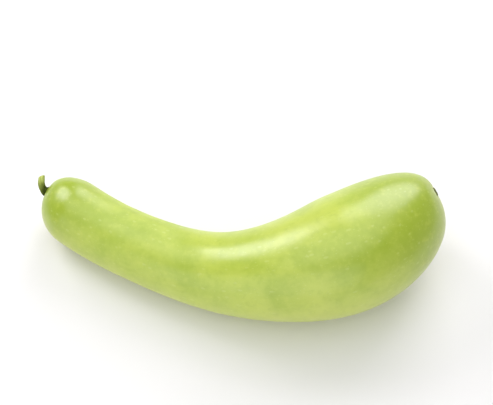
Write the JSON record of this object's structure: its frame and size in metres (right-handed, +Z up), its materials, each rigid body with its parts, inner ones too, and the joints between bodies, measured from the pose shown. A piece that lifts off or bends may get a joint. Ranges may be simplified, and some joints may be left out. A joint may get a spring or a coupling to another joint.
{
  "type": "bottle gourd",
  "caption": "Whole picked bottle gourd lying on its side: a pale green bent fruit with a slim neck and full belly, a stub of stem and a dry blossom scar.",
  "frame": {"origin": "on the surface that the gourd lies on, under the middle of its bounding box", "axes": "+X along the gourd from the stem end to the blossom end, +Y towards the hollow side of its bend, +Z up"},
  "size_m": [0.3298, 0.1316, 0.096],
  "materials": {
    "rind": "smooth waxy skin, satin, pale yellow-green with cloudy mottling",
    "stem": "fibrous green stalk, ridged lengthwise, matt",
    "cork": "dry brown-green corky tissue, matt and rough"
  },
  "bodies": {
    "root": {"fruit": "rind", "stem": "stem", "blossom_scar": "cork"}
  },
  "joints": []
}
